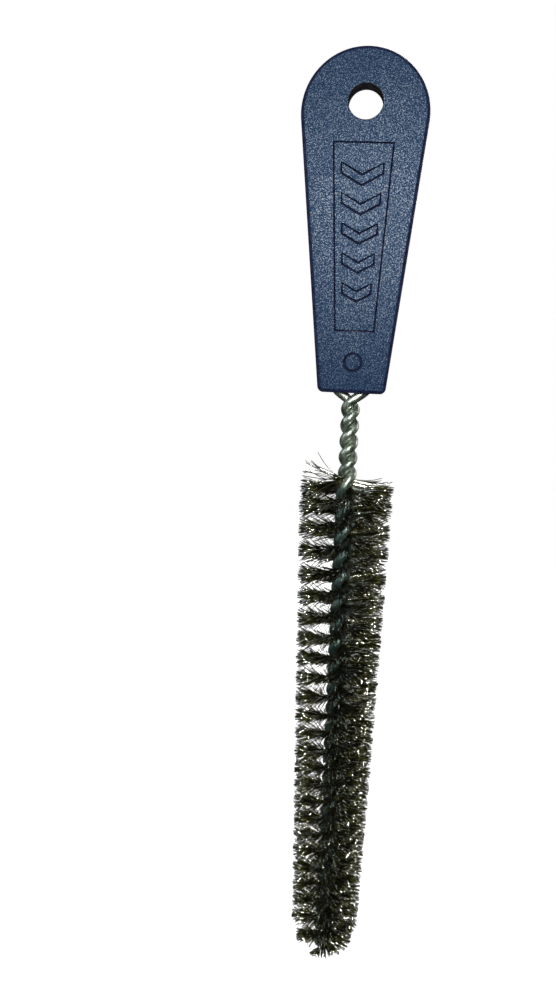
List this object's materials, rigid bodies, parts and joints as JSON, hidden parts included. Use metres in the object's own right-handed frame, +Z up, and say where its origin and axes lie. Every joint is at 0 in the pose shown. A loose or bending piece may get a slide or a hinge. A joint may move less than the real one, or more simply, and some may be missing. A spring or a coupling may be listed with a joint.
{
  "type": "twisted wire cleaning brush",
  "caption": "Tapered twisted-wire cleaning brush: springy metal bristles clamped in a two-strand twisted stem, with a flat moulded paddle handle and a hang hole.",
  "frame": {"origin": "middle of the hang hole, on its axis, half way through the handle", "axes": "+Z up along the stem towards the top of the handle, +Y along the hang hole's axis to the back broad face, +X to the right seen from the front (-Y)"},
  "size_m": [0.0326, 0.025, 0.2414],
  "materials": {
    "handle_plastic": "navy blue moulded plastic with a fine spark-eroded grain and a satin sheen",
    "galvanised_wire": "zinc-coated drawn steel wire, grey-green, bright where the strands crown",
    "bristle_wire": "fine hard-drawn wire, dark olive brown with bright glints"
  },
  "bodies": {
    "root": {"handle": "handle_plastic", "stem_wire": "galvanised_wire", "bristle_row_01": "bristle_wire", "bristle_row_02": "bristle_wire", "bristle_row_03": "bristle_wire", "bristle_row_04": "bristle_wire", "bristle_row_05": "bristle_wire", "bristle_row_06": "bristle_wire", "bristle_row_07": "bristle_wire", "bristle_row_08": "bristle_wire", "bristle_row_09": "bristle_wire", "bristle_row_10": "bristle_wire", "bristle_row_11": "bristle_wire", "bristle_row_12": "bristle_wire", "bristle_row_13": "bristle_wire", "bristle_row_14": "bristle_wire", "bristle_row_15": "bristle_wire", "bristle_row_16": "bristle_wire", "bristle_row_17": "bristle_wire", "bristle_row_18": "bristle_wire", "bristle_row_19": "bristle_wire", "bristle_row_20": "bristle_wire", "bristle_row_21": "bristle_wire", "bristle_row_22": "bristle_wire", "bristle_row_23": "bristle_wire", "bristle_row_24": "bristle_wire", "bristle_row_25": "bristle_wire"}
  },
  "joints": []
}
